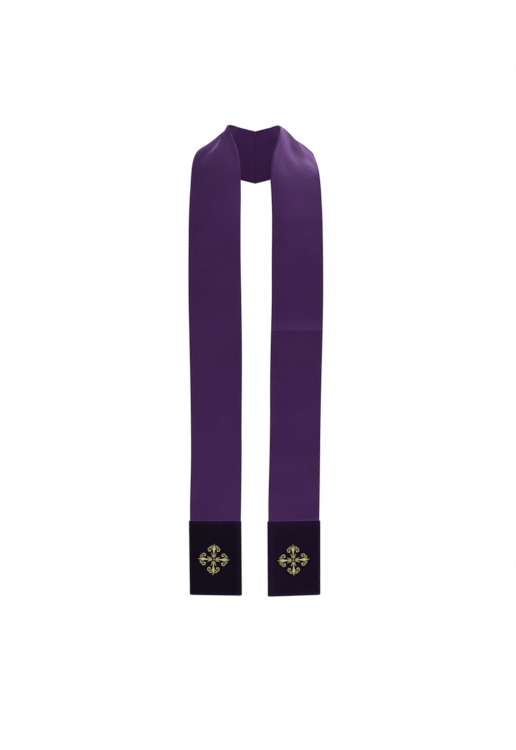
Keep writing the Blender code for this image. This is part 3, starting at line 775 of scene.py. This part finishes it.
def stitched_tube(panel, path, widths, layer):
    """Rings of one satin-stitched stroke, lying on its panel.

    The stroke is resampled at even steps. A ring's top is a dome over the width; on it each stitch
    rounds up as the size of a sine, whose phase leans with the place across the width. A wide
    stroke has a middle line where stitches from both sides dip in.
    """
    length = length_along(path)
    step = THREAD_PITCH / THREAD_SAMPLES
    s = np.linspace(0, length[-1], max(round(length[-1] / step), LEAST_RINGS))
    line = np.stack([np.interp(s, length, path[:, k]) for k in (0, 1)], axis=-1)
    if len(line) > EVEN_FROM:
        for k in (0, 1):
            padded = np.pad(line[:, k], EVEN_SPAN // 2, mode="reflect", reflect_type="odd")
            line[:, k] = np.convolve(padded, np.ones(EVEN_SPAN) / EVEN_SPAN, mode="valid")
    width = np.interp(s, length, widths)
    blunt = np.clip(width / 2, BLUNT_LEAST, BLUNT_MOST)
    to_end = np.minimum(s, length[-1] - s) + BLUNT_START
    close = np.sqrt(1 - np.clip(1 - to_end / blunt, 0, 1) ** 2)
    width = (width * close)[:, None]
    tangent = unit(np.gradient(line, axis=0))
    aside = tangent[:, ::-1] * (1, -1)
    t = STROKE_PLACES
    split = np.clip(width - SPLIT_WIDTH, 0, 1)
    lean = STITCH_LEAN * width / 2 * ((1 - split) * t + split * 2 * np.abs(t))
    thread = np.abs(np.sin(math.pi * (s[:, None] + lean) / THREAD_PITCH))
    crown = np.clip(STITCH_LOW + STITCH_CROWN * width, 0, STITCH_HIGH) * close[:, None]
    dome = np.sqrt(1 - t**2) ** DOME_POWER
    dip = 1 - split * SPLIT_DEPTH * bump_shape(t, SPLIT_SPREAD)
    top = STITCH_FOOT + crown * dome * dip + THREAD_RISE * thread * dome + LAYER_RISE * layer
    foot = np.full((len(s), 2), STITCH_FOOT - FOOT_DEPTH)
    ring_places = np.append(t, [FOOT_SHARE, -FOOT_SHARE])
    flat = line[:, None] + aside[:, None] * (width / 2 * ring_places)[..., None]
    height = np.concatenate([top, foot], axis=1)
    rings = panel_point(panel, *on_panel(panel, flat), END_WALL / 2 + height)
    return rings, len(t) // 2, ring_cloth(rings, s)


def make_cross(name, panel, strokes, side, finish):
    """The raised gold stitching of a cross: one closed tube for each stroke."""
    tubes = [stitched_tube(panel, path, widths, k % LAYERS)
             for k, (path, widths) in enumerate(strokes)]
    return make_mesh(name, tubes, side, finish)


# ---- Finishes
class Nodes:
    """A node tree under construction."""

    def __init__(self, tree):
        self.tree = tree

    def add(self, kind, inputs=(), **settings):
        """A node of that kind: its settings, then its inputs as values or as other sockets."""
        node = self.tree.nodes.new("ShaderNode" + kind)
        for key, value in settings.items():
            setattr(node, key, value)
        for key, value in dict(inputs).items():
            self.set(node.inputs[key], value)
        return node

    def set(self, socket, value):
        """Give a socket a value, or link it to another socket."""
        if isinstance(value, bpy.types.NodeSocket):
            self.tree.links.new(value, socket)
        else:
            socket.default_value = value

    def plus(self, a, b):
        """The sum of two numbers."""
        return self.add("Math", {0: a, 1: b}, operation="ADD").outputs[0]

    def times(self, a, b):
        """The product of two numbers."""
        return self.add("Math", {0: a, 1: b}, operation="MULTIPLY").outputs[0]

    def wave(self, length, pitch):
        """A sine that turns once over each pitch of a length."""
        turns = self.times(length, 2 * math.pi / pitch)
        return self.add("Math", {0: turns}, operation="SINE").outputs[0]

    def shift(self, value, low, high, to_low, to_high, **settings):
        """A number carried from one range to another, held at its ends."""
        inputs = {"Value": value, "From Min": low, "From Max": high,
                  "To Min": to_low, "To Max": to_high}
        return self.add("MapRange", inputs, **settings).outputs[0]


class Finish(Nodes):
    """A node material under construction."""

    def __init__(self, name):
        self.material = bpy.data.materials.new(name)
        self.material.use_nodes = True
        super().__init__(self.material.node_tree)

    def coordinates(self):
        """The cloth's own coordinates in metres, and places in the part's frame."""
        return self.add("UVMap", uv_map="cloth").outputs[0], self.add("TexCoord").outputs["Object"]

    def blend(self, share, a, b):
        """A colour between two others."""
        return self.add("Mix", {0: share, 6: a, 7: b}, data_type="RGBA").outputs[2]

    def dyed(self, colour, *layers):
        """A colour with others laid over it, each as strong as its shifted number."""
        for over, *numbers in layers:
            colour = self.blend(self.shift(*numbers), colour, over)
        return colour

    def noise(self, vector, scale, detail=2.0, rough=0.5):
        """Soft noise from 0 to 1."""
        inputs = {"Vector": vector, "Scale": scale, "Detail": detail, "Roughness": rough}
        return self.add("TexNoise", inputs).outputs["Fac"]

    def fibres(self, cloth, across, along, detail=2.0, rough=0.5):
        """Noise on the cloth with that many grains to the metre across and along it."""
        scaled = self.add("Mapping", {"Vector": cloth, "Scale": (across, along, 1.0)}).outputs[0]
        return self.noise(scaled, 1.0, detail, rough)

    def flecked(self, label, cloth, across, along, strength):
        """A piece's own attribute, raised and lowered by flecks of a few millimetres."""
        flecks = self.plus(self.fibres(cloth, across, along, 2.0, 0.7), -0.5)
        value = self.add("Attribute", attribute_name=label).outputs["Fac"]
        return self.plus(value, self.times(flecks, strength))

    def bump(self, height, distance, strength, **below):
        """A surface normal raised by a height in metres, on the normal below it if one is given."""
        inputs = {"Height": height, "Distance": distance, "Strength": strength, **below}
        return self.add("Bump", inputs).outputs[0]

    def surface(self, **values):
        """Set or link the shader's own sockets."""
        shader = self.tree.nodes["Principled BSDF"]
        for key, value in values.items():
            self.set(shader.inputs[key.replace("_", " ")], value)
        return self.material


def purple_cloth():
    """Fine twill with a low satin sheen.

    The weave is slanted ribs, broken by crossing threads of half their pitch. Slow patches, flecks
    and fine slubs vary the dye, and the piece's own tone attribute lays painted highlights and
    painted shade over it.
    """
    f = Finish("purple_cloth")
    cloth, place = f.coordinates()
    across, along, _ = f.add("SeparateXYZ", {0: cloth}).outputs
    rib = f.wave(f.plus(across, f.times(along, RIB_SLANT)), RIB_PITCH)
    thread = f.times(f.wave(across, THREAD_GAP), f.wave(along, THREAD_GAP))
    weave = f.plus(f.times(rib, 0.6), f.times(thread, 0.4))
    patches = f.noise(place, 14, 3, 0.55)
    slubs = f.fibres(cloth, 2600, 160)
    grain = f.fibres(cloth, 700, 900, 3)
    tone = f.flecked("tone", cloth, 250, 220, TONE_FLECKS)
    # The tone attribute lays painted highlights and painted shade over the dye
    dye = f.dyed(
        PURPLE_DEEP, (PURPLE_PALE, patches, 0.3, 0.7, 0, 1), (PURPLE_PALE, slubs, 0.35, 0.8, 0, 0.35),
        (PURPLE_DEEP, grain, 0.3, 0.75, 0.35, 0), (PURPLE_DEEP, weave, -1, 1, 0.3, 0),
        (PURPLE_PAINTED_HIGHLIGHT, tone, 0, 1, 0, 1), (PURPLE_PAINTED_SHADE, tone, -1, 0, 1, 0))
    normal = f.bump(grain, 0.00012, 0.5, Normal=f.bump(weave, 0.00004, 0.6))
    return f.surface(Base_Color=dye, Roughness=f.shift(patches, 0.3, 0.7, 0.4, 0.45),
                     Specular_IOR_Level=0.9, Specular_Tint=PURPLE_GLOSS, Sheen_Weight=0.30,
                     Sheen_Roughness=0.4, Sheen_Tint=PURPLE_SHEEN, Normal=normal)


def dark_velvet():
    """Cut-pile velvet, nearly black with a violet bloom where the nap is brushed up.

    The piece's own nap attribute says where the pile is brushed; it also holds painted sheen along
    the edges, the hem and in the puckers and painted shade beside the stitching, and the bloom is
    laid over the dye from it. Fine noise is the pile itself, long thin noise the way it lies, and
    broad noise the marks of handling.
    """
    f = Finish("dark_velvet")
    cloth, place = f.coordinates()
    nap_and_painted_light = f.flecked("nap_and_painted_light", cloth, 300, 260, NAP_FLECKS)
    pile = f.fibres(cloth, 3200, 2200, 2, 0.6)
    lay = f.fibres(cloth, 420, 34, 3, 0.55)
    marks = f.noise(place, 42, 3, 0.6)
    # The bloom is painted sheen and brushed nap; below 0 the nap attribute is painted shade
    lit = f.plus(f.times(nap_and_painted_light, 0.55), f.shift(lay, 0.35, 0.8, 0, 0.12))
    lit = f.plus(lit, f.shift(marks, 0.4, 0.8, 0, 0.1))
    dye = f.dyed(VELVET, (VELVET_BRUSHED_AND_SHEEN, lit, 0, 1, 0, 1), (VELVET_DEEP, nap_and_painted_light, -1, 0, 1, 0),
                 (VELVET_DEEP, pile, 0.3, 0.7, 0.6, 0))
    normal = f.bump(lay, 0.0005, 0.3, Normal=f.bump(pile, 0.00035, 0.8))
    return f.surface(Base_Color=dye, Roughness=0.86, Specular_IOR_Level=0.06,
                     Specular_Tint=VELVET_GLOSS, Sheen_Weight=0.04, Sheen_Roughness=0.32,
                     Sheen_Tint=VELVET_SHEEN, Normal=normal)


def gold_thread():
    """Pale antique gold rayon: satin stitches with a soft metallic gleam, darker in the gaps."""
    f = Finish("gold_thread")
    cloth, place = f.coordinates()
    strands = f.fibres(cloth, 900, 9000)
    tone = f.noise(place, 260)
    dye = f.dyed(GOLD, (GOLD_PALE, tone, 0.3, 0.7, 0, 0.7), (GOLD_DEEP, strands, 0.3, 0.7, 0.45, 0))
    return f.surface(Base_Color=dye, Roughness=f.shift(strands, 0.3, 0.7, 0.48, 0.34),
                     Metallic=0.45, Specular_IOR_Level=0.5, Normal=f.bump(strands, 0.00008, 0.6))


def plain_floor():
    """Matt pale floor that fades out into the backdrop away from the object."""
    f = Finish("pale_floor")
    place = f.add("TexCoord").outputs["Object"]
    away = f.add("VectorMath", {0: place}, operation="LENGTH").outputs["Value"]
    tint = f.dyed(FLOOR_WHITE, (FLOOR_GRAIN, f.noise(place, 30), 0.3, 0.7, 0, 0.1))
    fade = f.shift(away, *FLOOR_FADE, 1, 0, interpolation_type="SMOOTHSTEP")
    return f.surface(Base_Color=tint, Roughness=0.9, Alpha=fade, Emission_Color=FLOOR_WHITE,
                     Emission_Strength=FLOOR_GLOW)


# ---- Stage, metres
FLOOR_DROP = 1.5                # from the nape to the floor under a standing wearer
FLOOR_SIDES = 96
FLOOR_RINGS = (3.5, 1.7, 0.02)  # radii, from the rim to the middle
FLOOR_FADE = (1.9, 3.4)         # between these radii it fades out
FLOOR_GLOW = 0.20               # its own light, which lifts the shade on it
CAMERA_PLACE = (0.007, -4.195, -0.593)
CAMERA_FOCUS = 1724.1           # focal length in pixels of an image 750 pixels high
IMAGE_HEIGHT = 750
SENSOR = 36.0                   # millimetres
SURROUND_SHOWN = 1.0            # brightness of the surround where it is looked at
SURROUND_LIGHT = 0.36           # as a light on matt surfaces
SURROUND_MIRRORED = 0.17        # and where a gloss mirrors it

# Soft boxes: name, place, target, edge in metres, power in watts, whether they light matt and
# glossy surfaces, colour
LAMPS = [
    ("key", (1.3, -0.55, 4.7), (0, -0.1, -0.1), 1.6, 74, True, True, (1, 1, 1)),
    ("rim", (1.01, 1.77, 3.39), (0, -0.1, -0.05), 1.2, 38, True, True, (1, 0.8, 1)),
    ("sheen", (1.25, -4.45, 2.4), (0.05, -0.15, -0.3), 1.6, 23, False, True, (1, 1, 1)),
    ("top", (1.2, -1.5, 4), (0, -0.1, -0.3), 2.4, 138, True, False, (1, 1, 1)),
    ("front", (-0.8, -5, 1), (0, -0.1, -0.4), 3.2, 120, True, False, (1, 1, 1)),
    ("back", (0.6, 3.6, 3.2), (0, 0, -0.4), 3.6, 90, True, False, (1, 1, 1)),
]


def make_floor():
    """A round pale floor: circles joined by quads, and one face over the smallest."""
    turn = np.linspace(0, 2 * math.pi, FLOOR_SIDES, endpoint=False)
    circle = np.stack([np.cos(turn), np.sin(turn), 0 * turn], axis=-1)
    points = np.concatenate([radius * circle for radius in FLOOR_RINGS])
    k = np.arange(FLOOR_SIDES)
    nearer = k + FLOOR_SIDES
    quads = np.stack([k, np.roll(k, -1), np.roll(nearer, -1), nearer], axis=-1)
    faces = np.vstack([quads, quads + FLOOR_SIDES]).tolist() + [(nearer + FLOOR_SIDES).tolist()]
    mesh = bpy.data.meshes.new("floor")
    mesh.from_pydata(points.tolist(), [], faces)
    mesh.materials.append(plain_floor())
    floor = add_object("floor", mesh)
    floor.location = (0, 0, -FLOOR_DROP)


def make_world():
    """Even pale surround: bright where it is looked at, softer as a light and dim in highlights."""
    world = bpy.data.worlds.new("studio")
    world.use_nodes = True
    surround = Nodes(world.node_tree)
    path = surround.add("LightPath").outputs
    light = surround.shift(path["Is Glossy Ray"], 0.0, 1.0, SURROUND_LIGHT, SURROUND_MIRRORED)
    strength = surround.shift(path["Is Camera Ray"], 0.0, 1.0, light, SURROUND_SHOWN)
    background = world.node_tree.nodes["Background"].inputs
    surround.set(background["Color"], (1, 1, 1, 1))
    surround.set(background["Strength"], strength)
    scene.world = world


def make_lamp(name, place, target, size, power, matt, gloss, colour):
    """A square soft box at a place, turned to a target."""
    light = bpy.data.lights.new(name, "AREA")
    light.color = colour
    light.size = size
    light.energy = power
    lamp = add_object(name, light)
    lamp.location = place
    lamp.rotation_euler = (Vector(target) - Vector(place)).to_track_quat("-Z", "Y").to_euler()
    lamp.visible_diffuse = matt
    lamp.visible_glossy = gloss


def make_camera():
    """Level camera in front of the wearer."""
    data = bpy.data.cameras.new("camera")
    data.sensor_width = SENSOR
    data.lens = CAMERA_FOCUS / IMAGE_HEIGHT * SENSOR
    camera = add_object("camera", data)
    camera.location = CAMERA_PLACE
    camera.rotation_euler = (math.pi / 2, 0, 0)
    bpy.context.scene.camera = camera


make_camera()
make_world()
make_floor()
for values in LAMPS:
    make_lamp(*values)
scene.view_settings.view_transform = "Standard"

cloth_finish = purple_cloth()
velvet_finish = dark_velvet()
gold_finish = gold_thread()

band_right = make_band("band_right_cloth", RIGHT_SECTIONS, RIGHT_FOLDS, RIGHT_CREASES,
                       RIGHT_WAVES, RIGHT_CREASE_LIGHT, -1, cloth_finish)
band_left = make_band("band_left_cloth", LEFT_SECTIONS, LEFT_FOLDS, LEFT_CREASES,
                      LEFT_WAVES, LEFT_CREASE_LIGHT, 1, cloth_finish)
right_strokes = cross_strokes(RIGHT_CROSS_PLACE)
left_strokes = cross_strokes(LEFT_CROSS_PLACE)
panel_right = make_panel("end_panel_right_velvet", RIGHT_PANEL, RIGHT_PUCKERS, RIGHT_NAP_AND_SHEEN,
                         RIGHT_LEVEL, RIGHT_PRESSED, right_strokes, -1, velvet_finish)
panel_left = make_panel("end_panel_left_velvet", LEFT_PANEL, LEFT_PUCKERS, LEFT_NAP_AND_SHEEN,
                        LEFT_LEVEL, LEFT_PRESSED, left_strokes, 1, velvet_finish)
cross_right = make_cross("cross_right_embroidery", RIGHT_PANEL, right_strokes, -1, gold_finish)
cross_left = make_cross("cross_left_embroidery", LEFT_PANEL, left_strokes, 1, gold_finish)

for piece, node, slot in (
    (band_right, "band_right", "purple_cloth"), (band_left, "band_left", "purple_cloth"),
    (panel_right, "end_panel_right", "dark_velvet"), (panel_left, "end_panel_left", "dark_velvet"),
    (cross_right, "cross_right", "gold_thread"), (cross_left, "cross_left", "gold_thread"),
):
    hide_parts(node)
